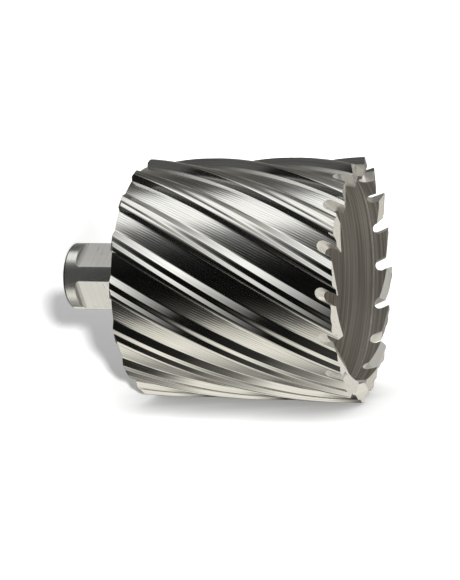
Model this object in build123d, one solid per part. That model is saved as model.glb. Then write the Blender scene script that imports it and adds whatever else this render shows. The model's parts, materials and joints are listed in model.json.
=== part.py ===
# Annular cutter with a round shank that has two locking flats.
# The tool is one piece of high speed steel. It stands on its shank end, teeth up:
# the origin is the centre of the shank end face, and +Z runs along the axis to the teeth.
# The cutter turns towards +angle (anticlockwise seen from +Z), so every tooth leads on that side.
# Lengths are in millimetres and angles in degrees.

import os
from math import cos, degrees, radians, sin, tan

from build123d import *
from build123d.topology import SkipClean

# Body
outer_diameter = 112.0        # over the margins
body_length = 104.0           # shoulder face to tooth tips
rear_chamfer = 1.5            # on the lands, at the shoulder

# Cup
wall_thickness = 8.7          # at the mouth, from the bore to the margins
mouth_band_length = 8.2       # stretch of the bore where the wall is this thick
bore_relief = 0.5             # the rest of the cup is this much larger, on the radius
web_thickness = 14.0          # steel between the cup and the shoulder face
cup_corner_slope = 3.0        # chamfer between the cup wall and its floor

# Flutes and lands, with widths measured along the outer circle
tooth_count = 16              # the teeth alternate between two grinds, so the count is even
helix_angle = 30.0            # right hand
flute_start_angle = 13.1      # leading corner of a margin at the shoulder, from +X
flute_depth = 3.5             # margin down to the flute floor
face_width = 1.15             # leading wall of a land
margin_width = 2.05           # full diameter strip behind the leading corner
step_width = 1.75             # slope from the margin down to the shelf
shelf_width = 2.9
shelf_drop = 1.5              # shelf below the margin
heel_width = 3.4              # slope from the shelf down to the flute floor

# Gullets: a round-ended slot through the wall in front of each tooth
gullet_width = 5.1
gullet_depth = 9.5            # below the tips, where the slot leaves the flute floor
gullet_twist = 21.0           # of the slot against the axis, less than the helix
gullet_slope = 31.0           # the slot's floor falls this much on its way outwards
gullet_lean = 10.0            # the slot leads this much on its way inwards
ledge_width = 1.9             # flute floor left between a land and its gullet, at the tips

# Tooth ends
relief_angle = 9.5            # the end of a tooth falls from its edge to its heel
outward_bevel = 7.0           # first grind: the point is at the bore
middle_point_inset = 5.0      # second grind: the point is this far inside the margins
middle_outer_bevel = 4.0
middle_inner_bevel = 25.0
first_grind_at = 0            # 0 where tooth 0 has the first grind, 1 where tooth 1 has it

# Shank
shank_diameter = 31.75
shank_length = 40.0
shank_chamfer = 0.8
collar_length = 6.0           # round stretch at the shank's end, below the flats
flat_depth = 2.45
flat_runout_radius = 2.2      # hollow at the collar end of a flat
flat_directions = (-90.0, 0.0)
pilot_bore_diameter = 8.0     # for the centring pin, right through shank and web

# Values that follow from those above
outer_radius = outer_diameter / 2
floor_radius = outer_radius - flute_depth
shelf_radius = outer_radius - shelf_drop
bore_radius = outer_radius - wall_thickness
middle_point_radius = outer_radius - middle_point_inset
shank_radius = shank_diameter / 2
shoulder_z = shank_length
tip_z = shank_length + body_length
flat_start = collar_length + flat_runout_radius
pitch_angle = 360 / tooth_count
twist_per_mm = degrees(tan(radians(helix_angle)) / outer_radius)
spare = 1.0                   # how far a cut runs on past the steel it takes away
up = Vector(0, 0, 1)


def rim_angle(width):
    """The angle that a width along the outer circle takes up."""
    return degrees(width / outer_radius)


def polar(radius, angle):
    return Vector(radius * cos(radians(angle)), radius * sin(radians(angle)))


def past(start, end):
    """A point a little beyond the end of a line."""
    return end + (end - start).normalized() * spare


def tooth_start(index, z):
    """Angle of the leading corner of a land at a height."""
    return flute_start_angle + index * pitch_angle + twist_per_mm * (z - shoulder_z)


def land_section(index):
    """Section of a land at the shoulder. Its walls run on into the core and past the margin."""
    corner = tooth_start(index, shoulder_z)
    margin = corner - rim_angle(margin_width)
    step = margin - rim_angle(step_width)
    shelf = step - rim_angle(shelf_width)
    heel = shelf - rim_angle(heel_width)
    face = corner + rim_angle(face_width)
    heel_foot = polar(floor_radius, heel)
    heel_top = polar(shelf_radius, shelf)
    step_foot = polar(shelf_radius, step)
    step_top = polar(outer_radius, margin)
    face_top = polar(outer_radius, corner)
    face_foot = polar(floor_radius, face)
    return make_face(Polyline(
        [
            past(heel_top, heel_foot),
            heel_top,
            step_foot,
            past(step_foot, step_top),
            past(face_foot, face_top),
            past(face_top, face_foot),
        ],
        close=True,
    ))


def land(index):
    """One helical land, as a straight section that turns as it rises."""
    section = land_section(index).face().moved(Location((0, 0, shoulder_z)))
    return Solid.extrude_linear_with_rotation(
        section, (0, 0, shoulder_z), (0, 0, body_length), twist_per_mm * body_length
    )


def body_cylinder(radius):
    return Pos(0, 0, (shoulder_z + tip_z) / 2) * Cylinder(radius, body_length)


def fluted_blank():
    """The body as a solid bar: a core at the depth of the flutes, with a land for each tooth."""
    envelope = body_cylinder(outer_radius)
    return body_cylinder(floor_radius) + [land(index) & envelope for index in range(tooth_count)]


def turned(points):
    """Solid of revolution about Z from corners given as radius and height.

    Each straight run between two corners keeps a wall of its own.
    """
    outline = Plane.XZ * make_face(Polyline(points, close=True))
    return revolve(outline, Axis.Z, clean=False)


def rear_chamfer_ring():
    """What the chamfer takes off: a slope at 45 degrees, run on at both ends."""
    return turned([
        (outer_radius - rear_chamfer - spare, shoulder_z - spare),
        (outer_radius + spare, shoulder_z - spare),
        (outer_radius + spare, shoulder_z + rear_chamfer + spare),
    ])


def cup_space():
    """What the cup is hollowed out with, from its floor up past the tips."""
    floor_z = shoulder_z + web_thickness
    band_z = tip_z - mouth_band_length
    relief_radius = bore_radius + bore_relief
    return turned([
        (0, floor_z),
        (relief_radius - cup_corner_slope, floor_z),
        (relief_radius, floor_z + cup_corner_slope),
        (relief_radius, band_z - bore_relief),
        (bore_radius, band_z),
        (bore_radius, tip_z + spare),
        (0, tip_z + spare),
    ])


def gullet(index):
    """Slot in front of a tooth, with its floor sloping down outwards."""
    gullet_z = tip_z - gullet_depth + gullet_width / 2
    outward, around = directions(gullet_angle(index, gullet_z))
    along = up * cos(radians(gullet_twist)) + around * sin(radians(gullet_twist))
    across = around * cos(radians(gullet_twist)) - up * sin(radians(gullet_twist))
    through = outward - along * tan(radians(gullet_slope)) - across * tan(radians(gullet_lean))
    centre = outward * floor_radius + up * gullet_z
    plane = Plane(origin=centre, x_dir=across, z_dir=through)
    run = 2 * gullet_depth
    open_side = 1 if plane.y_dir.Z > 0 else -1
    slot = Circle(gullet_width / 2) + Pos(0, open_side * run / 2) * Rectangle(gullet_width, run)
    return extrude(plane * slot, amount=2 * wall_thickness, both=True)


def directions(angle):
    """Unit vectors outwards and around, at an angle about the axis."""
    turn = radians(angle)
    return Vector(cos(turn), sin(turn), 0), Vector(-sin(turn), cos(turn), 0)


def rake_angle(index, z, radius=floor_radius):
    """Angle of a tooth's front face, which is the near wall of its gullet."""
    at_tip = tooth_start(index, tip_z) + rim_angle(face_width + ledge_width)
    behind = (tip_z - z) * tan(radians(gullet_twist)) / floor_radius
    ahead = (floor_radius - radius) * tan(radians(gullet_lean)) / cos(radians(gullet_twist))
    return at_tip - degrees(behind) + degrees(ahead / radius)


def gullet_angle(index, z):
    """Angle of the middle of the gullet in front of a tooth, at the flute floor."""
    half_width = gullet_width / 2 / cos(radians(gullet_twist))
    return rake_angle(index, z) + degrees(half_width / floor_radius)


def ground_end(index, point_radius, bevel):
    """Space above one ground face of a tooth's end.

    The face passes through the tooth's point, falls outwards by the bevel, or inwards where
    that is negative, and falls from the front of the tooth to its heel by the relief.
    """
    outward, around = directions(rake_angle(index, tip_z, point_radius))
    normal = up + outward * tan(radians(bevel)) - around * tan(radians(relief_angle))
    face = Plane(origin=outward * point_radius + up * tip_z, z_dir=normal)
    start = gullet_angle(index - 1, tip_z)
    end = gullet_angle(index, tip_z)
    inside = bore_radius - spare
    outside = (outer_radius + spare) / cos(radians(pitch_angle / 2))
    sector = make_face(Polyline(
        [polar(inside, start), polar(outside, start), polar(outside, end), polar(inside, end)],
        close=True,
    ))
    lowest = tip_z - gullet_depth
    block = extrude(Pos(0, 0, lowest) * sector, amount=gullet_depth + spare)
    return split(block, bisect_by=face, keep=Keep.TOP)


def tooth_grinding():
    """The ends of all the teeth, which alternate between the two grinds."""
    cuts = []
    for index in range(tooth_count):
        if index % 2 == first_grind_at:
            cuts.append(ground_end(index, bore_radius, outward_bevel))
        else:
            cuts.append(ground_end(index, middle_point_radius, middle_outer_bevel))
            cuts.append(ground_end(index, middle_point_radius, -middle_inner_bevel))
    return cuts


def flat_space(direction):
    """What one locking flat is ground away with, hollow at the collar end."""
    depth_radius = shank_radius - flat_depth
    outside = shank_radius + flat_runout_radius + spare
    foot = (depth_radius, flat_start)
    lip = (depth_radius + flat_runout_radius, collar_length)
    outline = make_face([
        Line(foot, (depth_radius, shank_length)),
        Line((depth_radius, shank_length), (outside, shank_length)),
        Line((outside, shank_length), (outside, collar_length)),
        Line((outside, collar_length), lip),
        RadiusArc(lip, foot, flat_runout_radius),
    ])
    return Rot(0, 0, direction) * extrude(Plane.XZ * outline, amount=shank_radius, both=True)


def shank():
    """Round bar with two flats. Its round wall is parted where they reach their full depth."""
    bar = turned([
        (0, 0),
        (shank_radius - shank_chamfer, 0),
        (shank_radius, shank_chamfer),
        (shank_radius, flat_start),
        (shank_radius, shank_length),
        (0, shank_length),
    ])
    return bar - [flat_space(direction) for direction in flat_directions]


def pilot_bore():
    length = shank_length + web_thickness
    return Pos(0, 0, length / 2) * Cylinder(pilot_bore_diameter / 2, length + 2 * spare)


def cutter():
    gullets = [gullet(index) for index in range(tooth_count)]
    tools = [cup_space(), rear_chamfer_ring()] + gullets + tooth_grinding()
    body = fluted_blank() - tools
    with SkipClean():
        # walls of one radius aren't merged here, so the collar's stays apart from the rest
        return body + shank() - pilot_bore()


cutter_body = cutter()
print("solids", len(cutter_body.solids()), "volume", cutter_body.volume, cutter_body.is_valid)
os.makedirs("parts", exist_ok=True)
export_step(cutter_body, "parts/cutter_body.step")
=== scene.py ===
# %% [markdown]
# # An annular cutter
#
# An annular cutter is a hollow drill for steel plate. It is ground from one bar of high speed
# steel, so it has no paint and no second material: all of its looks come from what its walls
# mirror, and from the fine lines that the lathe and the grinding wheel left on them. The packed
# CAD part is the frame. It gives the sizes and the place, and it stands on the end of its shank
# with its teeth up.

# %% Load the frame
import json
from math import atan2, cos, degrees, pi, radians, sin, tan

import bmesh
import bpy
from mathutils import Matrix, Vector


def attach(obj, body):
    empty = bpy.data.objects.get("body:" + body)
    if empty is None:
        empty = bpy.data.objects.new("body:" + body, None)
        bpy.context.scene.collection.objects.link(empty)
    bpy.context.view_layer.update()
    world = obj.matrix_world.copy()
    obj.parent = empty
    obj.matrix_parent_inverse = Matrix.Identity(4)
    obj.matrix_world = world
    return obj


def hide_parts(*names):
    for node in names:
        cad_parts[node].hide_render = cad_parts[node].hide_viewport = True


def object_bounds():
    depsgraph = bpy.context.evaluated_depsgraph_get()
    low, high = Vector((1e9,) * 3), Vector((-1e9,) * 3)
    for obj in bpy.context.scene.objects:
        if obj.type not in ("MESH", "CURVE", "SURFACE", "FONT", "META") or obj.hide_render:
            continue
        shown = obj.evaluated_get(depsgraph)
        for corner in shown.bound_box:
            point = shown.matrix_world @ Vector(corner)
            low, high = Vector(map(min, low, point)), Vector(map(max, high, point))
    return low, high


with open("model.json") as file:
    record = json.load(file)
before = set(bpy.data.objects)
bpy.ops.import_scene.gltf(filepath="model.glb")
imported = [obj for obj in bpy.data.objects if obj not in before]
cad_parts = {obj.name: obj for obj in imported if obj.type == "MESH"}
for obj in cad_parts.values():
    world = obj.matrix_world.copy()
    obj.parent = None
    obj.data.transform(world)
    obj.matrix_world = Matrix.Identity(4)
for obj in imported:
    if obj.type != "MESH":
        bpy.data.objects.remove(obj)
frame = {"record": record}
cad_low, cad_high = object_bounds()
print("CAD box", list(cad_low), list(cad_high))

# %% [markdown]
# ## Sizes
#
# What can be read from the frame is read from it: the outside radius and the height come from the
# CAD box, and the shank and the pilot bore from the record's mounts. The rest are the widths and
# angles of the grinding, written as on a drawing, in millimetres and degrees. Widths on a land are
# measured along the outer circle.

# %% Sizes from the frame
MM = 0.001
mounts = {mount["name"]: mount for mount in frame["record"]["mounts"]}
outer_radius = cad_high.x
tip_z = cad_high.z
shank_radius = mounts["shank"]["dims"]["r_mm"] * MM
pilot_radius = mounts["pilot_bore"]["dims"]["r_mm"] * MM
cup_floor_z = mounts["pilot_bore"]["dims"]["length_mm"] * MM
print("radius", round(outer_radius / MM, 2), "mm, tips at", round(tip_z / MM, 2), "mm")

# %% Sizes of the flutes and lands
shoulder_z = 40 * MM
tooth_count = 16
helix_angle = radians(30)
flute_start_angle = radians(13.1)
floor_radius = outer_radius - 3.5 * MM
shelf_radius = outer_radius - 1.5 * MM
face_width = 1.15 * MM
margin_width = 2.05 * MM
step_width = 1.75 * MM
shelf_width = 2.9 * MM
heel_width = 3.4 * MM
pitch_angle = 2 * pi / tooth_count
twist_per_metre = tan(helix_angle) / outer_radius
print("twist over the body", round(degrees(twist_per_metre * (tip_z - shoulder_z)), 1), "degrees")

# %% [markdown]
# ## Working by hand, in code
#
# Blender's modelling operators act on what is selected. These helpers select one object and pick
# vertices, edges or faces by a rule about their place. Others name an object, put it in its place,
# apply a modifier and turn faces outwards.


# %% Helpers for selecting
SAME_PLACE = 1e-6  # points closer than this, in metres, are in the same place


def only(*objects):
    """Selects these objects and nothing else. The last one is the active one."""
    if bpy.context.object and bpy.context.object.mode != "OBJECT":
        bpy.ops.object.mode_set(mode="OBJECT")
    bpy.ops.object.select_all(action="DESELECT")
    for obj in objects:
        obj.select_set(True)
    bpy.context.view_layer.objects.active = objects[-1]


def edit(obj):
    """Opens one object in edit mode."""
    only(obj)
    bpy.ops.object.mode_set(mode="EDIT")


def done():
    """Closes edit mode."""
    bpy.ops.object.mode_set(mode="OBJECT")


def pick(obj, kind, rule):
    """In edit mode, selects the vertices, edges or faces for which the rule holds."""
    bpy.ops.mesh.select_mode(type=kind)
    bpy.ops.mesh.select_all(action="DESELECT")
    shape = bmesh.from_edit_mesh(obj.data)
    items = {"VERT": shape.verts, "EDGE": shape.edges, "FACE": shape.faces}[kind]
    count = 0
    for item in items:
        if rule(item):
            item.select_set(True)
            count += 1
    shape.select_flush_mode()
    bmesh.update_edit_mesh(obj.data)
    return count


# %% Helpers for naming, placing and finishing
def named(name):
    """Names the object that an operator has just added."""
    obj = bpy.context.object
    obj.name = obj.data.name = name
    return obj


def place(obj, matrix):
    """Puts an object in its place and leaves its origin at the frame's origin."""
    obj.matrix_world = matrix
    only(obj)
    bpy.ops.object.transform_apply(location=True, rotation=True, scale=True)


def apply(obj, modifier):
    """Applies a modifier, so that its result becomes the mesh."""
    only(obj)
    bpy.ops.object.modifier_apply(modifier=modifier.name)


def face_outwards():
    """In edit mode, turns all faces to point out of the shape."""
    bpy.ops.mesh.select_all(action="SELECT")
    bpy.ops.mesh.normals_make_consistent(inside=False)


# %% [markdown]
# ## The camera
#
# The photograph shows the cutter lying on its side, seen from a little in front of its teeth. Here
# the cutter stands, so the camera is turned with it: its right side points up along the axis. A
# fit of the outline gave the lens, the distance and the turn, and the camera is worked out from
# those.

# %% What the fit gave
photo_height = 580
lens_in_pixels = 1658.5
camera_azimuth = radians(-42)
teeth_towards_camera = radians(18.55)
fall_to_the_right = radians(0.92)
shoulder_from_camera = Vector((-36.4, 6.15, -787.7)) * MM
print("camera", round(shoulder_from_camera.length, 3), "m from the shoulder")

# %% The cutter's directions, in the frame and as the camera sees them
axis = Vector((0, 0, 1))
near = Vector((cos(camera_azimuth), sin(camera_azimuth), 0))
above = Vector((sin(camera_azimuth), -cos(camera_azimuth), 0))
axis_seen = Vector((
    cos(fall_to_the_right) * cos(teeth_towards_camera),
    -sin(fall_to_the_right),
    cos(fall_to_the_right) * sin(teeth_towards_camera),
))
near_seen = (Vector((0, 0, 1)) - axis_seen * axis_seen.z).normalized()
above_seen = near_seen.cross(axis_seen)
frame_directions = Matrix((axis, near, above)).transposed()
seen_to_frame = frame_directions @ Matrix((axis_seen, near_seen, above_seen))
print("the camera looks along", [round(-value, 3) for value in seen_to_frame.col[2]])

# %% The camera
bpy.ops.object.select_all(action="DESELECT")
bpy.ops.object.camera_add()
camera = bpy.context.object
camera.name = "photo_camera"
camera.data.lens = lens_in_pixels / photo_height * camera.data.sensor_width
camera.data.clip_end = 50
camera_place = axis * shoulder_z - seen_to_frame @ shoulder_from_camera
camera.matrix_world = Matrix.Translation(camera_place) @ seen_to_frame.to_4x4()
bpy.context.scene.camera = camera
print("camera at", [round(value, 3) for value in camera_place], "lens", round(camera.data.lens, 1))

# %% [markdown]
# ## Steel finishes
#
# Every wall is the same bright steel, and only its finish differs. So each kind of tool mark is
# made once, as a node group that gives one value for how strong the mark is, and the finishes
# share them. Nodes are easier to read when they are written the same way each time, so a few
# helpers come first.


# %% Helpers for nodes
def add_node(tree, kind, settings=(), inputs=()):
    """Adds a node, sets its properties, and links or sets its inputs."""
    node = tree.nodes.new(kind)
    for name, value in dict(settings).items():
        setattr(node, name, value)
    for name, value in dict(inputs).items():
        if isinstance(value, bpy.types.NodeSocket):
            tree.links.new(value, node.inputs[name])
        else:
            node.inputs[name].default_value = value
    return node


def calculate(tree, operation, first, second=0.0):
    """One step of arithmetic."""
    node = add_node(tree, "ShaderNodeMath", {"operation": operation}, {0: first, 1: second})
    return node.outputs[0]


def plus(tree, first, second):
    return calculate(tree, "ADD", first, second)


def minus(tree, first, second):
    return calculate(tree, "SUBTRACT", first, second)


def times(tree, first, second):
    return calculate(tree, "MULTIPLY", first, second)


def between(tree, value, start, end):
    """0 up to the start, 1 from the end on, and a straight rise between them."""
    node = add_node(tree, "ShaderNodeMapRange", (), {
        "Value": value, "From Min": start, "From Max": end,
    })
    return node.outputs[0]


# %% Helpers for coordinates, noise and colour
noise_low, noise_middle, noise_high = 0.3, 0.5, 0.7


def object_place(tree):
    """The place on the object, in metres."""
    return add_node(tree, "ShaderNodeTexCoord").outputs["Object"]


def separate(tree, vector):
    """The X, Y and Z of a vector."""
    return add_node(tree, "ShaderNodeSeparateXYZ", (), {0: vector}).outputs


def radius_of(tree, x, y):
    """The distance from the axis."""
    return calculate(tree, "SQRT", plus(tree, times(tree, x, x), times(tree, y, y)))


def angle_of(tree, x, y):
    """The angle about the axis."""
    return calculate(tree, "ARCTAN2", y, x)


def noise(tree, vector, scale=1.0, detail=2.0, roughness=0.5):
    """Soft random values, most of them between noise_low and noise_high."""
    node = add_node(tree, "ShaderNodeTexNoise", (), {
        "Vector": vector, "Scale": scale, "Detail": detail, "Roughness": roughness,
    })
    return node.outputs["Fac"]


def ramp(tree, factor, stops):
    """A colour ramp from a list of (place, colour)."""
    node = add_node(tree, "ShaderNodeValToRGB", (), {"Fac": factor})
    elements = node.color_ramp.elements
    while len(elements) < len(stops):
        elements.new(0.5)
    for element, (position, colour) in zip(elements, stops):
        element.position = position
        element.color = (*colour, 1)
    return node.outputs["Color"]


def mix_colours(tree, factor, first, second):
    node = add_node(tree, "ShaderNodeMix", {"data_type": "RGBA"}, {
        "Factor": factor, 6: first, 7: second,
    })
    return node.outputs[2]


def scale_colour(tree, colour, factor):
    node = add_node(tree, "ShaderNodeVectorMath", {"operation": "SCALE"}, {
        0: colour, "Scale": factor,
    })
    return node.outputs[0]


# %% Helpers for node groups
def new_group(name, inputs, output):
    """An empty node group with float inputs and one float output.

    Gives back the group, its input sockets and the socket that takes the result.
    """
    group = bpy.data.node_groups.new(name, "ShaderNodeTree")
    for socket, value in inputs.items():
        made = group.interface.new_socket(socket, in_out="INPUT", socket_type="NodeSocketFloat")
        made.default_value = value
    group.interface.new_socket(output, in_out="OUTPUT", socket_type="NodeSocketFloat")
    given = group.nodes.new("NodeGroupInput").outputs
    result = group.nodes.new("NodeGroupOutput").inputs[output]
    return group, given, result


def use_group(tree, group, inputs=()):
    """Places a node group in a material, with its own values, and gives its one output."""
    return add_node(tree, "ShaderNodeGroup", {"node_tree": group}, inputs).outputs[0]


def per_metre(tree, size):
    """How many of a size in millimetres go into a metre."""
    return calculate(tree, "DIVIDE", 1 / MM, size)


# %% [markdown]
# ### Lines along the helix
#
# The grinding wheel ran along the lands and left fine lines in its own direction. Noise that is
# stretched in one direction gives such lines. The coordinates are first turned back by the twist,
# so that the helix stands upright, and the noise is then stretched along the height.


# %% Lines along the helix
def helix_lines():
    """Streaks of a width and a length, both in millimetres."""
    group, given, result = new_group(
        "lines along the helix", {"Line Width": 0.4, "Length": 40}, "Lines",
    )
    here = object_place(group)
    height = separate(group, here)[2]
    upright = add_node(group, "ShaderNodeVectorRotate", {"rotation_type": "Z_AXIS"}, {
        "Vector": here, "Angle": times(group, height, -twist_per_metre),
    })
    across = per_metre(group, given["Line Width"])
    along = per_metre(group, given["Length"])
    scale = add_node(group, "ShaderNodeCombineXYZ", (), {"X": across, "Y": across, "Z": along})
    stretched = add_node(group, "ShaderNodeVectorMath", {"operation": "MULTIPLY"}, {
        0: upright.outputs[0], 1: scale.outputs[0],
    })
    group.links.new(noise(group, stretched.outputs[0], roughness=0.6), result)
    return group


helix_group = helix_lines()
print(helix_group.name, "has", len(helix_group.nodes), "nodes")

# %% [markdown]
# ### Feed lines
#
# The floors of the flutes were milled before the lands were ground. Their lines are evenly spaced
# and drift slowly across the flute, because the milling cutter ran at a slightly smaller angle
# than the lands have. The photograph shows one every 1.2 mm, so there are 17 to a flute. A sine
# wave over the angle gives them, turned by that smaller twist, and soft noise lets them fade in
# and out.

# %% Feed lines on the flute floors
feed_line_count = 17 * tooth_count
feed_angle = radians(25.5)
feed_twist_per_metre = tan(feed_angle) / floor_radius


def feed_lines():
    """Even waves from -1 to 1, which fade in patches of a size in millimetres."""
    group, given, result = new_group("feed lines", {"Patch Size": 5.0}, "Lines")
    here = object_place(group)
    x, y, height = separate(group, here)
    turned_back = plus(group, angle_of(group, x, y), times(group, height, -feed_twist_per_metre))
    wave = calculate(group, "SINE", times(group, turned_back, feed_line_count))
    patches = noise(group, here, scale=per_metre(group, given["Patch Size"]))
    strength = between(group, patches, noise_low, noise_high)
    group.links.new(times(group, wave, strength), result)
    return group


feed_group = feed_lines()
print(feed_group.name, round(2 * pi * floor_radius / feed_line_count / MM, 2), "mm apart")

# %% [markdown]
# ### Rings from the lathe
#
# The bore was turned, so it has fine rings round the axis: noise over the height. On a level face,
# such as the floor of the cup, the lathe leaves circles, so the radius is added to the height. An
# upright flat would then show arcs, so there the share of the radius is 0. A little of X and Y
# lets a ring change slowly on its way round.


# %% Rings from the lathe
def lathe_rings():
    """Rings of a width in millimetres. Level Faces is the share of the radius, 1 or 0."""
    group, given, result = new_group(
        "rings from the lathe", {"Ring Width": 0.4, "Level Faces": 1}, "Rings",
    )
    x, y, height = separate(group, object_place(group))
    radius = radius_of(group, x, y)
    reach = plus(group, height, times(group, radius, given["Level Faces"]))
    rows = times(group, reach, per_metre(group, given["Ring Width"]))
    change_per_metre = 12.0
    vector = add_node(group, "ShaderNodeCombineXYZ", (), {
        "X": times(group, x, change_per_metre), "Y": times(group, y, change_per_metre), "Z": rows,
    })
    group.links.new(noise(group, vector.outputs[0], roughness=0.6), result)
    return group


rings_group = lathe_rings()
print(rings_group.name, "has", len(rings_group.nodes), "nodes")

# %% [markdown]
# ### Handling, wear and painted edge highlights
#
# Hands and oil leave soft patches, which show where the steel mirrors less sharply. And no ground
# edge is perfectly sharp: a tiny rounding catches the light as a fine bright line. The Bevel node
# gives the direction that a wall would have if its edges were rounded, so there is an edge
# wherever that differs from the wall's own direction. There the colour is painted lighter: partly
# wear, partly a painted highlight.


# %% Soft marks from handling
def handling_marks():
    """Cloudy patches of a size in millimetres, larger than any tool mark."""
    group, given, result = new_group("handling marks", {"Size": 14}, "Marks")
    scale = per_metre(group, given["Size"])
    group.links.new(noise(group, object_place(group), scale, detail=4.0, roughness=0.55), result)
    return group


marks_group = handling_marks()
print(marks_group.name, "has", len(marks_group.nodes), "nodes")

# %% Wear and painted highlights along the edges
bevel_samples = 6


# the finishes paint the edges found here lighter: partly wear, partly a painted highlight
def edges_worn_and_highlit():
    """1 where a rounding of the edges would turn the wall, 0 on the open wall."""
    group, given, result = new_group("worn and highlit edges", {"Reach": 0.25}, "Wear and Highlight")
    rounded = add_node(group, "ShaderNodeBevel", {"samples": bevel_samples}, {
        "Radius": times(group, given["Reach"], MM),
    })
    wall_direction = add_node(group, "ShaderNodeNewGeometry").outputs["Normal"]
    agreement = add_node(group, "ShaderNodeVectorMath", {"operation": "DOT_PRODUCT"}, {
        0: rounded.outputs[0], 1: wall_direction,
    })
    open_wall, full_wear = 0.98, 0.80
    group.links.new(between(group, agreement.outputs["Value"], open_wall, full_wear), result)
    return group


edge_wear_and_highlight_group = edges_worn_and_highlit()
print(edge_wear_and_highlight_group.name, "has", len(edge_wear_and_highlight_group.nodes), "nodes")

# %% [markdown]
# ## The steel itself
#
# One function makes each finish from a colour, a roughness and a tool mark. The mark makes the
# colour a little darker or lighter, changes how sharply the wall mirrors, and lifts a very shallow
# bump, so that the lines catch the light as real grinding does. A wheel leaves a bright mirror,
# and a milling cutter a duller wall, which scatters part of the light: that part is what is
# missing from 1 in Metallic.

# %% A steel finish
# the colour that edges are painted towards: partly wear, partly a painted highlight
edge_wear_and_highlight_colour = (0.97, 0.96, 0.93, 1)
edge_wear_and_highlight_share = 0.6
cloudiness = 0.12
edge_rounding = 0.2 * MM


def steel(
    name, colour, roughness, metallic, marks, mark_inputs, mark_depth,
    colour_swing, roughness_swing,
):
    """A material with one kind of tool mark. The mark's depth is in millimetres."""
    material = bpy.data.materials.new(name)
    material.use_nodes = True
    tree = material.node_tree
    shader = tree.nodes["Principled BSDF"]
    shader.inputs["Metallic"].default_value = metallic
    mark = use_group(tree, marks, mark_inputs)

    dark = tuple(channel * (1 - colour_swing) for channel in colour)
    light = tuple(channel * (1 + colour_swing) for channel in colour)
    tinted = ramp(tree, mark, [(noise_low, dark), (noise_high, light)])
    # edges painted lighter: partly wear, partly a painted highlight
    edge_wear_and_highlight = times(tree, use_group(tree, edge_wear_and_highlight_group), edge_wear_and_highlight_share)
    tree.links.new(mix_colours(tree, edge_wear_and_highlight, tinted, edge_wear_and_highlight_colour), shader.inputs["Base Color"])

    lines = times(tree, minus(tree, mark, noise_middle), roughness_swing)
    patches = use_group(tree, marks_group)
    clouds = times(tree, minus(tree, patches, noise_middle), cloudiness)
    rough = plus(tree, plus(tree, lines, clouds), roughness)
    tree.links.new(rough, shader.inputs["Roughness"])

    rounded = add_node(tree, "ShaderNodeBevel", {"samples": bevel_samples}, {
        "Radius": edge_rounding,
    })
    bump = add_node(tree, "ShaderNodeBump", (), {
        "Height": mark, "Strength": 1.0, "Distance": mark_depth * MM, "Normal": rounded.outputs[0],
    })
    tree.links.new(bump.outputs["Normal"], shader.inputs["Normal"])
    return material


# %% The ground finishes
flute_steel = steel(
    "ground flutes", colour=(0.88, 0.875, 0.85), roughness=0.105, metallic=1.0,
    marks=helix_group, mark_inputs={"Line Width": 0.6}, mark_depth=0.008,
    colour_swing=0.12, roughness_swing=0.12,
)
tooth_steel = steel(
    "ground tooth ends", colour=(0.72, 0.70, 0.67), roughness=0.26, metallic=0.88,
    marks=rings_group, mark_inputs={"Ring Width": 0.35}, mark_depth=0.001,
    colour_swing=0.05, roughness_swing=0.06,
)
shank_steel = steel(
    "ground shank", colour=(0.80, 0.80, 0.77), roughness=0.19, metallic=0.9,
    marks=rings_group, mark_inputs={"Ring Width": 0.35}, mark_depth=0.003,
    colour_swing=0.10, roughness_swing=0.1,
)
print("ground", [finish.name for finish in (flute_steel, tooth_steel, shank_steel)])

# %% The turned and milled finishes
bore_steel = steel(
    "turned bore", colour=(0.62, 0.59, 0.54), roughness=0.46, metallic=0.85,
    marks=rings_group, mark_inputs={"Ring Width": 0.7}, mark_depth=0.007,
    colour_swing=0.36, roughness_swing=0.15,
)
gullet_steel = steel(
    "milled gullets", colour=(0.90, 0.875, 0.82), roughness=0.30, metallic=0.78,
    marks=rings_group, mark_inputs={"Ring Width": 0.5}, mark_depth=0.006,
    colour_swing=0.10, roughness_swing=0.1,
)
flat_steel = steel(
    "milled flats", colour=(0.92, 0.91, 0.88), roughness=0.30, metallic=0.7,
    marks=rings_group, mark_inputs={"Ring Width": 0.8, "Level Faces": 0.0}, mark_depth=0.002,
    colour_swing=0.08, roughness_swing=0.1,
)
print("turned and milled", [finish.name for finish in (bore_steel, gullet_steel, flat_steel)])

# %% [markdown]
# ## Milled floors
#
# The lands and the flute floors are one wall in the mesh, but the floors are milled and the lands
# are ground. So the floors are found by their radius. There the feed lines take the place of the
# wheel's lines, and the steel mirrors a little less sharply.

# %% Feed lines and duller floors in the flute steel
floor_reach = 0.10 * MM
land_reach = 0.25 * MM
feed_depth = 0.010 * MM
feed_shade = 0.14
floor_dullness = 0.05
wheel_lines_lost = 0.85


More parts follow.
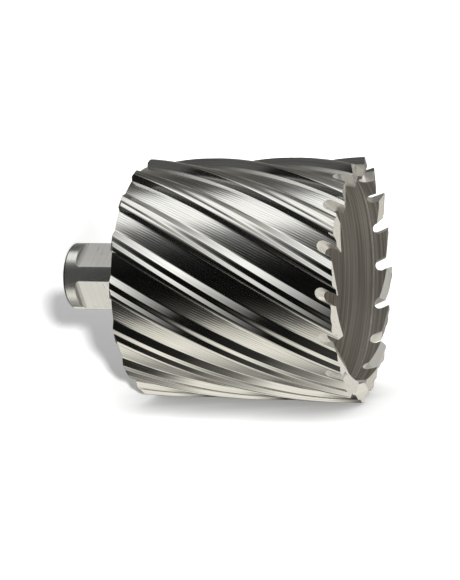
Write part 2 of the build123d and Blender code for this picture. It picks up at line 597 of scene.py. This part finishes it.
def mill_floors(material):
    """Gives the flute steel its milled floors, which are found by their radius."""
    tree = material.node_tree
    shader = tree.nodes["Principled BSDF"]
    x, y = separate(tree, object_place(tree))[:2]
    radius = radius_of(tree, x, y)
    on_floor = between(tree, radius, floor_radius + land_reach, floor_radius + floor_reach)
    feed = times(tree, use_group(tree, feed_group), on_floor)

    shade = plus(tree, times(tree, feed, feed_shade), 1.0)
    colour = shader.inputs["Base Color"].links[0].from_socket
    tree.links.new(scale_colour(tree, colour, shade), shader.inputs["Base Color"])
    rough = shader.inputs["Roughness"].links[0].from_socket
    duller = plus(tree, rough, times(tree, on_floor, floor_dullness))
    tree.links.new(duller, shader.inputs["Roughness"])

    wheel_bump = shader.inputs["Normal"].links[0].from_node
    wheel_lines = minus(tree, wheel_bump.inputs["Height"].links[0].from_socket, noise_middle)
    kept = minus(tree, 1.0, times(tree, on_floor, wheel_lines_lost))
    tree.links.new(times(tree, wheel_lines, kept), wheel_bump.inputs["Height"])
    feed_bump = add_node(tree, "ShaderNodeBump", (), {
        "Height": feed, "Strength": 1.0, "Distance": feed_depth,
        "Normal": wheel_bump.outputs["Normal"],
    })
    tree.links.new(feed_bump.outputs["Normal"], shader.inputs["Normal"])


mill_floors(flute_steel)
print(flute_steel.name, "has", len(flute_steel.node_tree.nodes), "nodes")

# %% [markdown]
# ## Bands of another brightness
#
# Some narrow rings are painted darker or brighter than the wall they belong to: painted shade on
# the chamfer at the end of the shank and in the hollow where a flat ends, a painted highlight on
# the small step where the mouth of the bore begins, and a darker mouth. They need no material of
# their own: a band between two heights scales the colour.

# %% Where the painted bands are
bore_relief = 0.5 * MM
mouth_band_length = 8.2 * MM
band_z = tip_z - mouth_band_length
shank_chamfer = 0.8 * MM
collar_length = 6 * MM
flat_runout_radius = 2.2 * MM
painted_bands = [
    # material, lowest and highest point, and how many times as bright
    # painted shade on the shank's chamfer and in the hollow at the end of the flats
    (shank_steel, -1 * MM, 1.3 * shank_chamfer, 0.2),
    (flat_steel, collar_length - 1 * MM, collar_length + 0.9 * flat_runout_radius, 0.62),
    # a painted highlight where the mouth of the bore begins
    (bore_steel, band_z - bore_relief, band_z + 0.2 * MM, 2.0),
    # the mouth of the bore, darker
    (bore_steel, band_z + 0.5 * MM, tip_z, 0.82),
]
print("the mouth of the bore begins at", round(band_z / MM, 1), "mm")


# %% Paint the bands
soft_end = 0.12 * MM


# scales the colour for the painted bands of shade and highlight
def paint_band(material, low_z, high_z, factor):
    """Scales the colour between two heights, with soft ends."""
    tree = material.node_tree
    colour_in = tree.nodes["Principled BSDF"].inputs["Base Color"]
    height = separate(tree, object_place(tree))[2]
    above_low = between(tree, height, low_z - soft_end, low_z)
    below_high = between(tree, height, high_z + soft_end, high_z)
    inside = times(tree, above_low, below_high)
    scale = plus(tree, times(tree, inside, factor - 1), 1.0)
    tree.links.new(scale_colour(tree, colour_in.links[0].from_socket, scale), colour_in)


for band in painted_bands:
    paint_band(*band)
print("painted_bands", len(painted_bands))

# %% [markdown]
# ## The body with its lands
#
# The lands are what takes the most skill to grind: sixteen ribs wind round the body as a
# right-hand helix, each with a narrow margin, a step down to a shelf, a long heel slope and a
# steep leading wall. Their section is the same all along, only turned. So a circle is shaped into
# the section, its corners are rounded as a wheel leaves them, and the Screw modifier lifts and
# turns it.

# %% The points of one pitch
heel_foot, heel_top, shelf_middle, step_foot, step_top, margin_middle, corner, face_foot = range(8)
floor_parts = 9


def land_points():
    """Radius and angle of each point of one pitch, from the foot of the heel onwards."""
    margin = -margin_width
    step = margin - step_width
    shelf = step - shelf_width
    heel = shelf - heel_width
    corners = [
        (floor_radius, heel), (shelf_radius, shelf), (shelf_radius, (shelf + step) / 2),
        (shelf_radius, step), (outer_radius, margin), (outer_radius, margin / 2),
        (outer_radius, 0), (floor_radius, face_width),
    ]
    points = [(radius, width / outer_radius) for radius, width in corners]
    first, last = points[heel_foot][1] + pitch_angle, points[face_foot][1]
    for part in range(1, floor_parts):
        points.append((floor_radius, last + (first - last) * part / floor_parts))
    return points


print("points in one pitch", len(land_points()))


# %% Draw the section
def turn_about_axis(angle):
    """Turns what is selected about the cutter's axis, anticlockwise seen from above."""
    bpy.ops.transform.rotate(value=-angle, orient_axis="Z", center_override=(0, 0, 0))


def draw_section():
    """A circle whose points are moved, one kind at a time, to where the section has them."""
    points = land_points()
    roles = len(points)
    total = roles * tooth_count
    bpy.ops.mesh.primitive_circle_add(
        vertices=total, radius=outer_radius, location=(0, 0, shoulder_z),
    )
    section = named("cutter_steel")
    only(section)
    bpy.ops.object.transform_apply(location=True)
    role_of = section.data.attributes.new("role", "INT", "POINT")
    for vertex in section.data.vertices:
        turn = atan2(vertex.co.y, vertex.co.x) / (2 * pi)
        role_of.data[vertex.index].value = round(turn * total) % roles
    edit(section)
    for role, (radius, angle) in enumerate(points):
        pick_role(section, (role,))
        ratio = radius / outer_radius
        bpy.ops.transform.resize(value=(ratio, ratio, 1), center_override=(0, 0, shoulder_z))
        turn_about_axis(flute_start_angle + angle - role * pitch_angle / roles)
    done()
    return section


def pick_role(section, roles):
    """In edit mode, selects the points of these kinds on all the lands."""
    layer = bmesh.from_edit_mesh(section.data).verts.layers.int["role"]
    return pick(section, "VERT", lambda vertex: vertex[layer] in roles)


body = draw_section()
print("points in the section", len(body.data.vertices))

# %% Round its corners
roundings = [
    # corners, radius, segments
    ((heel_foot,), 0.30 * MM, 3),
    ((face_foot,), 0.22 * MM, 3),
    ((heel_top,), 0.15 * MM, 2),
    ((step_foot,), 0.15 * MM, 2),
    ((step_top, corner), 0.08 * MM, 2),
]
edit(body)
for corners, size, segments in roundings:
    pick_role(body, corners)
    bpy.ops.mesh.bevel(affect="VERTICES", offset=size, segments=segments)
done()
print("points with rounded corners", len(body.data.vertices))

# %% Turn the section into the body
levels = 100


def lift_section(section, height):
    """Screws the section upwards and closes both of its ends."""
    screw = section.modifiers.new("helix", "SCREW")
    screw.axis = "Z"
    screw.angle = twist_per_metre * height
    screw.screw_offset = height
    screw.steps = screw.render_steps = levels
    apply(section, screw)
    edit(section)
    for level in (shoulder_z, shoulder_z + height):
        pick(section, "EDGE", lambda edge: all(
            abs(v.co.z - level) < SAME_PLACE for v in edge.verts
        ))
        bpy.ops.mesh.edge_face_add()
    face_outwards()
    done()


lift_section(body, tip_z - shoulder_z)
body.data.materials.append(flute_steel)
print("body", len(body.data.polygons), "faces")

# %% [markdown]
# ## Turned forms
#
# The cup, the shank, the pilot bore and the chamfer at the rear are all lathe work. A circle with
# a filled face is extruded upwards ring by ring, and each ring is resized to the next radius. Such
# a form is then taken from the body or joined with it by a boolean, as a cut on the lathe would
# be.

# %% A turned form
spare = 0.6 * MM


def turned(name, corners, material, segments=192):
    """A closed form of revolution from radii and heights, from the bottom up."""
    radius, z = corners[0]
    bpy.ops.mesh.primitive_circle_add(
        vertices=segments, radius=radius, location=(0, 0, z), fill_type="NGON",
    )
    form = named(name)
    only(form)
    bpy.ops.object.transform_apply(location=True)
    edit(form)
    bpy.ops.mesh.select_all(action="SELECT")
    for next_radius, next_z in corners[1:]:
        bpy.ops.mesh.extrude_region_move(TRANSFORM_OT_translate={"value": (0, 0, next_z - z)})
        ratio = next_radius / radius
        bpy.ops.transform.resize(value=(ratio, ratio, 1), center_override=(0, 0, next_z))
        radius, z = next_radius, next_z
    face_outwards()
    done()
    form.data.materials.append(material)
    return form


def combine(obj, tool, operation):
    """A boolean that keeps the tool's finish on the walls that it makes, and uses the tool up."""
    name = tool.name
    modifier = obj.modifiers.new("boolean", "BOOLEAN")
    modifier.operation = operation
    modifier.object = tool
    modifier.solver = "EXACT"
    modifier.material_mode = "TRANSFER"
    apply(obj, modifier)
    bpy.data.objects.remove(tool)
    print(operation.lower(), "with", name, "leaves", len(obj.data.polygons), "faces")


# %% Chamfer the rear
rear_chamfer = 1.5 * MM
beyond = outer_radius + spare
envelope = turned("envelope", [
    (outer_radius - rear_chamfer - spare, shoulder_z - spare),
    (beyond, shoulder_z + rear_chamfer + spare),
    (beyond, tip_z + 2 * spare),
], flute_steel)
combine(body, envelope, "INTERSECT")

# %% Hollow the cup
bore_radius = 47.3 * MM
relief_radius = bore_radius + bore_relief
cup_corner_radius = 3 * MM
corner_parts = 5
corner_rings = []
for part in range(corner_parts + 1):
    angle = pi / 2 * part / corner_parts
    corner_rings.append((
        relief_radius - cup_corner_radius * (1 - sin(angle)),
        cup_floor_z + cup_corner_radius * (1 - cos(angle)),
    ))
cup_space = turned("cup_space", corner_rings + [
    (relief_radius, band_z - bore_relief),
    (bore_radius, band_z),
    (bore_radius, tip_z + 2 * spare),
], bore_steel)
combine(body, cup_space, "DIFFERENCE")

# %% [markdown]
# ## The shank
#
# A magnetic drill holds the cutter by this round shank. Two screws bear on its two flats, which
# are milled at a right angle to each other. Each flat ends in a hollow where the milling cutter
# left the bar: a block with one rounded edge cuts both the flat and its hollow.

# %% The round shank
length_inside_body = 5 * MM
shank = turned("shank", [
    (shank_radius - shank_chamfer, 0),
    (shank_radius, shank_chamfer),
    (shank_radius, shoulder_z + length_inside_body),
], shank_steel)
print("shank", len(shank.data.polygons), "faces")

# %% Its two flats
flat_depth = 2.45 * MM
flat_directions = (radians(-90), 0.0)
block_width = 2.2 * shank_radius


def flat_block(direction):
    """What one flat is milled away with, its lower inner edge rounded."""
    depth_radius = shank_radius - flat_depth
    reach = flat_depth + flat_runout_radius + spare
    height = shoulder_z - collar_length
    bpy.ops.mesh.primitive_cube_add(size=1)
    block = named("flat_block")
    centre = Vector((depth_radius + reach / 2, 0, collar_length + height / 2))
    size = Matrix.Diagonal((reach, block_width, height, 1))
    place(block, Matrix.Translation(centre) @ size)
    edit(block)
    pick(block, "EDGE", lambda edge: all(
        abs(v.co.x - depth_radius) < SAME_PLACE and abs(v.co.z - collar_length) < SAME_PLACE
        for v in edge.verts
    ))
    bpy.ops.mesh.bevel(affect="EDGES", offset=flat_runout_radius, segments=12)
    done()
    block.data.materials.append(flat_steel)
    place(block, Matrix.Rotation(direction, 4, "Z"))
    return block


for direction in flat_directions:
    combine(shank, flat_block(direction), "DIFFERENCE")
combine(body, shank, "UNION")

# %% The pilot bore
countersink = 0.5 * MM
pilot_space = turned("pilot_space", [
    (pilot_radius + countersink + spare, -spare),
    (pilot_radius, countersink),
    (pilot_radius, cup_floor_z + spare),
], bore_steel, segments=64)
combine(body, pilot_space, "DIFFERENCE")

# %% [markdown]
# ## The gullets
#
# In front of each tooth a round-ended slot goes through the wall, so that chips can leave. It
# leans with the flutes, at a smaller angle than they have, and its floor slopes down towards the
# outside. One cutter is a cylinder whose upper half is pulled up into a slot, and it is copied
# round the axis for the other fifteen.

# %% Sizes of a gullet
gullet_width = 5.1 * MM
gullet_depth = 9.5 * MM
gullet_twist = radians(21)
gullet_slope = radians(31)
gullet_lean = radians(10)
ledge_width = 1.9 * MM
print("gullet", round(gullet_width / MM, 1), "mm wide,", round(gullet_depth / MM, 1), "mm deep")


# %% Where a tooth and its gullet are
def tooth_start(index, z):
    """Angle of the leading corner of a land at a height."""
    return flute_start_angle + index * pitch_angle + twist_per_metre * (z - shoulder_z)


def rake_angle(index, z, radius):
    """Angle of a tooth's front face, the near wall of its gullet."""
    at_tip = tooth_start(index, tip_z) + (face_width + ledge_width) / outer_radius
    behind = (tip_z - z) * tan(gullet_twist) / floor_radius
    ahead = (floor_radius - radius) * tan(gullet_lean) / cos(gullet_twist) / radius
    return at_tip - behind + ahead


def gullet_angle(index, z):
    """Angle of the middle of the gullet in front of a tooth, at the flute floor."""
    half_width = gullet_width / 2 / cos(gullet_twist)
    return rake_angle(index, z, floor_radius) + half_width / floor_radius


def directions(angle):
    """Unit vectors outwards and around, at an angle about the axis."""
    return Vector((cos(angle), sin(angle), 0)), Vector((-sin(angle), cos(angle), 0))


print("first gullet at", round(degrees(gullet_angle(0, tip_z)), 1), "degrees")


# %% Copies round the axis
def ring_of(obj, count):
    """Copies an object round the axis and joins the copies with it."""
    copies = []
    for index in range(1, count):
        copy = obj.copy()
        copy.data = obj.data.copy()
        bpy.context.collection.objects.link(copy)
        place(copy, Matrix.Rotation(2 * pi * index / count, 4, "Z"))
        copies.append(copy)
    only(*copies, obj)
    bpy.ops.object.join()
    return obj


# %% Cut the gullets
def gullet_cutter():
    """All sixteen slots, as one tool."""
    gullet_z = tip_z - gullet_depth + gullet_width / 2
    outward, around = directions(gullet_angle(0, gullet_z))
    along = axis * cos(gullet_twist) + around * sin(gullet_twist)
    across = around * cos(gullet_twist) - axis * sin(gullet_twist)
    through = (outward - along * tan(gullet_slope) - across * tan(gullet_lean)).normalized()
    upward = through.cross(across).normalized()
    across = upward.cross(through)
    wall = outer_radius - bore_radius
    bpy.ops.mesh.primitive_cylinder_add(vertices=64, radius=gullet_width / 2, depth=4 * wall)
    slot = named("gullet_cutter")
    edit(slot)
    pick(slot, "VERT", lambda vertex: vertex.co.y > -SAME_PLACE)
    bpy.ops.transform.translate(value=(0, 2 * gullet_depth, 0))
    done()
    slot.data.materials.append(gullet_steel)
    turn = Matrix((across, upward, through)).transposed().to_4x4()
    place(slot, Matrix.Translation(outward * floor_radius + axis * gullet_z) @ turn)
    return ring_of(slot, tooth_count)


combine(body, gullet_cutter(), "DIFFERENCE")

# %% [markdown]
# ## The tooth ends
#
# The teeth alternate between two grinds. On the first the end falls outwards, so its point is at
# the bore and cuts the slug. On the second the point is inside the wall, with a steep bevel
# towards the bore. Both fall from the front to the heel, for clearance. A sector over one tooth is
# spun from a flat face and cut off at the ground plane, and what is left takes the steel above
# that plane away.

# %% The two grinds
relief_angle = radians(9.5)
middle_point_radius = outer_radius - 5 * MM
ground_faces = [
    # first tooth, radius of the point, and fall of the face outwards
    (0, bore_radius, radians(7)),
    (1, middle_point_radius, radians(4)),
    (1, middle_point_radius, radians(-25)),
]
print("ground faces", len(ground_faces))


# %% Grind the teeth
def grinding_sector(index, point_radius, bevel):
    """The space above one ground face, on every second tooth."""
    start = gullet_angle(index - 1, tip_z)
    inside = bore_radius - spare
    outside = outer_radius + spare
    bottom = tip_z - gullet_depth
    top = tip_z + 2 * spare
    bpy.ops.mesh.primitive_plane_add(size=1)
    sector = named("grinding_sector")
    centre = Vector(((inside + outside) / 2, 0, (bottom + top) / 2))
    size = Matrix.Diagonal((outside - inside, top - bottom, 1, 1))
    upright = Matrix.Rotation(pi / 2, 4, "X")
    place(sector, Matrix.Rotation(start, 4, "Z") @ Matrix.Translation(centre) @ upright @ size)
    edit(sector)
    bpy.ops.mesh.select_all(action="SELECT")
    bpy.ops.mesh.spin(steps=8, angle=-pitch_angle, center=(0, 0, 0), axis=(0, 0, 1))
    outward, around = directions(rake_angle(index, tip_z, point_radius))
    bpy.ops.mesh.select_all(action="SELECT")
    bpy.ops.mesh.bisect(
        plane_co=outward * point_radius + axis * tip_z,
        plane_no=axis + outward * tan(bevel) - around * tan(relief_angle),
        use_fill=True, clear_inner=True,
    )
    face_outwards()
    done()
    sector.data.materials.append(tooth_steel)
    return ring_of(sector, tooth_count // 2)


for index, point_radius, bevel in ground_faces:
    combine(body, grinding_sector(index, point_radius, bevel), "DIFFERENCE")

# %% [markdown]
# ## The finished mesh
#
# The cuts leave some points twice, so doubles are merged. The shoulder and the end of the shank
# are turned faces, so they get the bore's finish. Then walls that meet at less than 24 degrees are
# shaded as one smooth wall. The last lines say that this one piece stands for the CAD body, which
# is hidden, and moves with it.

# %% Finish the mesh
facing_down = -0.99
smooth_up_to = radians(24)
edit(body)
bpy.ops.mesh.select_all(action="SELECT")
bpy.ops.mesh.remove_doubles(threshold=SAME_PLACE)
open_edges = pick(body, "EDGE", lambda edge: not edge.is_manifold)
pick(body, "FACE", lambda face: face.normal.z < facing_down)
body.active_material_index = body.data.materials.find(bore_steel.name)
bpy.ops.object.material_slot_assign()
done()
only(body)
bpy.ops.object.shade_smooth_by_angle(angle=smooth_up_to)
print("cutter", len(body.data.polygons), "faces,", open_edges, "open edges")
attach(body, "root")
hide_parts("cutter_body")

# %% [markdown]
# ## Studio
#
# Bright steel looks like what stands round it. The photograph's studio has long soft lights at
# both sides and a dark room behind the camera, and their stripes are what shows the shape of the
# lands. The world holds that studio as four rings, one above the other, from far below the horizon
# to halfway up, with a plain grey above them. Each ring is a ramp over the angle round the axis,
# counted from the camera. How bright each stretch has to be was found by lighting one stretch at a
# time and solving for the mix that comes closest to the photograph. Only the steel mirrors the
# rings: the camera sees white behind the cutter, and matt walls get a plain, even light.

# %% The lights round the cutter
deep_stops = [
    # degrees round the axis from the camera, and brightness
    (-180, 0.10), (-140, 0.03), (-115, 0.04), (-90, 0.08), (-60, 0.04), (-45, 0.01), (5, 0.01),
    (25, 0.08), (60, 0.09), (90, 0.08), (120, 0.09), (150, 0.12), (180, 0.10),
]
low_stops = [
    (-180, 0.12), (-172, 0.09), (-165, 0.25), (-157, 0.87), (-150, 1.10), (-142, 0.77),
    (-135, 0.14), (-127, 0.10), (-120, 0.32), (-105, 0.27), (-75, 0.86), (-67, 0.81),
    (-52, 0.54), (-45, 0.17), (-37, 0.05), (-22, 0.005), (0, 0.002), (22, 0.007), (37, 0.07),
    (45, 0.20), (60, 0.97), (82, 0.97), (90, 0.64), (97, 0.17), (105, 0.08), (112, 0.06),
    (120, 0.06), (135, 0.12), (157, 0.26), (172, 0.14), (180, 0.12),
]
level_stops = [
    (-180, 0.05), (-172, 0.12), (-165, 0.05), (-112, 0.00), (-97, 0.84), (-75, 0.82),
    (-60, 0.10), (-52, 0.00), (-22, 0.00), (15, 0.006), (60, 1.13), (68, 1.09), (90, 0.64),
    (112, 0.43), (120, 0.50), (127, 0.10), (135, 0.05), (157, 0.09), (165, 0.09), (172, 0.06),
    (180, 0.05),
]
high_stops = [
    (-180, 1.05), (-150, 0.70), (-90, 0.67), (-60, 1.13), (-30, 0.12), (0, 0.012), (30, 0.00),
    (60, 0.00), (90, 0.38), (120, 0.46), (150, 1.13), (180, 1.05),
]
top_grey = (0.45, 0.45, 0.45, 1)
even_light_strength = 0.5
print("stops", [len(stops) for stops in (deep_stops, low_stops, level_stops, high_stops)])


# %% One ring
white, cream = (1.02, 1.02, 1.0), (1.03, 1.0, 0.90)
white_from, white_to = 0, 100


def ring(tree, place_on_ring, stops):
    """A ramp round the axis. The lights on one side are white, and cream elsewhere."""
    placed = []
    for angle, brightness in stops:
        tint = white if white_from <= angle <= white_to else cream
        colour = tuple(brightness * channel for channel in tint)
        placed.append(((angle + 180) / 360, colour))
    return ramp(tree, place_on_ring, placed)


# %% The world
def background(tree, colour, strength):
    node = add_node(tree, "ShaderNodeBackground", (), {"Color": colour, "Strength": strength})
    return node.outputs[0]


def studio_world():
    """Rings that only the steel mirrors, white to the camera, and even light for the rest."""
    world = bpy.data.worlds.new("studio")
    bpy.context.scene.world = world
    world.use_nodes = True
    tree = world.node_tree
    tree.nodes.clear()
    x, y, height = separate(tree, add_node(tree, "ShaderNodeTexCoord").outputs["Generated"])
    from_camera = minus(tree, camera_azimuth, angle_of(tree, x, y))
    turns = calculate(tree, "DIVIDE", from_camera, 2 * pi)
    # one turn more keeps this above 0, and the half puts the camera in the middle of the ramp
    place_on_ring = calculate(tree, "FRACT", plus(tree, turns, 1.5))

    mirrored = ring(tree, place_on_ring, deep_stops)
    rises = [
        # heights between which one ring goes over into the next
        (-0.80, -0.45, ring(tree, place_on_ring, low_stops)),
        (-0.33, 0.07, ring(tree, place_on_ring, level_stops)),
        (0.07, 0.50, ring(tree, place_on_ring, high_stops)),
        (0.50, 0.95, top_grey),
    ]
    for start, end, next_light in rises:
        mirrored = mix_colours(tree, between(tree, height, start, end), mirrored, next_light)

    seen = add_node(tree, "ShaderNodeLightPath").outputs
    studio = background(tree, mirrored, 1.0)
    even = background(tree, (1, 1, 1, 1), even_light_strength)
    plain = background(tree, (1, 1, 1, 1), 1.0)
    glossy = add_node(tree, "ShaderNodeMixShader", (), {
        0: seen["Is Glossy Ray"], 1: even, 2: studio,
    })
    picture = add_node(tree, "ShaderNodeMixShader", (), {
        0: seen["Is Camera Ray"], 1: glossy.outputs[0], 2: plain,
    })
    add_node(tree, "ShaderNodeOutputWorld", (), {"Surface": picture.outputs[0]})
    return world


print("world", studio_world().name)

# %% [markdown]
# ## Table, floor and shadow
#
# In the photograph the cutter lies on a white table. Here it stands, so that table is an upright
# plane along the cutter's side, and the shadow falls on it. The cutter also needs the floor that
# it stands on. The floor is in three strips, which leave open the part where the camera looks at
# the table below the cutter. Both are clear from behind, so that they never hide the cutter, and
# close to the cutter the table's colour and glow are painted darker: a painted contact shadow, as
# in the narrow gap under a round body. The steel mirrors neither of them, because the rings of the
# studio already hold what it mirrors in the photograph.

# %% A white board
contact_reach = 22 * MM
matt_white = (0.8, 0.8, 0.8)


def white_board(name, glow_strength, darkest_painted_contact_shade):
    """White to the camera where the light reaches it, and clear from behind."""
    material = bpy.data.materials.new(name)
    material.use_nodes = True
    tree = material.node_tree
    tree.nodes.clear()
    seen = add_node(tree, "ShaderNodeLightPath").outputs["Is Camera Ray"]
    # ambient occlusion paints a contact shadow: it darkens the colour and the glow near the cutter
    open_share = add_node(tree, "ShaderNodeAmbientOcclusion", (), {"Distance": contact_reach})
    shade = add_node(tree, "ShaderNodeMapRange", (), {
        "Value": open_share.outputs["AO"], "To Min": darkest_painted_contact_shade,
    }).outputs[0]
    matt = add_node(tree, "ShaderNodeBsdfDiffuse", (), {
        "Color": scale_colour(tree, matt_white, shade),
    })
    strength = times(tree, times(tree, seen, shade), glow_strength)
    glow = add_node(tree, "ShaderNodeEmission", (), {"Strength": strength})
    both = add_node(tree, "ShaderNodeAddShader", (), {0: matt.outputs[0], 1: glow.outputs[0]})
    clear = add_node(tree, "ShaderNodeBsdfTransparent")
    behind = add_node(tree, "ShaderNodeNewGeometry").outputs["Backfacing"]
    sides = add_node(tree, "ShaderNodeMixShader", (), {
        0: behind, 1: both.outputs[0], 2: clear.outputs[0],
    })
    add_node(tree, "ShaderNodeOutputMaterial", (), {"Surface": sides.outputs[0]})
    return material


# %% The table
board_size = 8.0
table_azimuth = radians(57)
table_distance = outer_radius + 0.4 * MM
towards_table = Vector((cos(table_azimuth), sin(table_azimuth), 0))
bpy.ops.mesh.primitive_plane_add(size=board_size)
table = named("table")
table.data.materials.append(white_board("white table", glow_strength=0.05, darkest_painted_contact_shade=0.35))
facing_cutter = (-towards_table).to_track_quat("Z", "Y").to_matrix().to_4x4()
place(table, Matrix.Translation(towards_table * table_distance) @ facing_cutter)
table.visible_glossy = False
print("table", round(table_distance / MM, 1), "mm from the axis")

# %% The floor
hidden_floor_start = 125 * MM
open_floor_end = 60 * MM
far = board_size / 2
floor_strips = [
    # start and end towards the camera, and start and end towards the picture's top, in metres
    (-far, far, 0.0, far),
    (-far, -hidden_floor_start, -far, 0.0),
    (open_floor_end, far, -far, 0.0),
]
floor_white = white_board("white floor", glow_strength=0.72, darkest_painted_contact_shade=1.0)
for near_start, near_end, top_start, top_end in floor_strips:
    bpy.ops.mesh.primitive_plane_add(size=1)
    strip = named("floor_strip")
    middle = near * (near_start + near_end) / 2 + above * (top_start + top_end) / 2
    size = Matrix.Diagonal((near_end - near_start, top_end - top_start, 1, 1))
    turn = Matrix.Rotation(camera_azimuth, 4, "Z")
    place(strip, Matrix.Translation(middle) @ turn @ size)
    strip.data.materials.append(floor_white)
    strip.visible_glossy = strip.visible_shadow = False
print("floor strips", len(floor_strips))

# %% [markdown]
# ## Lamps
#
# A wide, soft lamp above the camera lights the matt surfaces. A second, narrow lamp gives the
# shadow with the soft edge to the left of the cutter. Its direction was worked out from where the
# shadows of the shank and of the body end in the photograph. It is linked to the table and lights
# nothing else, so it can be strong without changing the steel.


# %% The lamps
def add_sun(name, energy, spread, azimuth, height):
    """A sun that shines from an azimuth and a height, with its spread in degrees."""
    bpy.ops.object.light_add(type="SUN")
    sun = bpy.context.object
    sun.name = name
    sun.data.energy = energy
    sun.data.angle = radians(spread)
    sun.visible_glossy = False
    sun_from = Vector((cos(azimuth) * cos(height), sin(azimuth) * cos(height), sin(height)))
    sun.rotation_euler = sun_from.to_track_quat("Z", "Y").to_euler()
    return sun


key_light = add_sun(
    "key_light", energy=1.8, spread=35, azimuth=camera_azimuth, height=radians(50),
)
table_light = add_sun(
    "table_light", energy=12.0, spread=2.5, azimuth=radians(-46.2), height=radians(26.3),
)
lit = bpy.data.collections.new("lit by the table light")
lit.objects.link(table)
table_light.light_linking.receiver_collection = lit
print("lamps", key_light.name, table_light.name)

# %% [markdown]
# ## Picture settings
#
# The Standard view shows the white table as white.

# %% Picture settings
bpy.context.scene.view_settings.view_transform = "Standard"
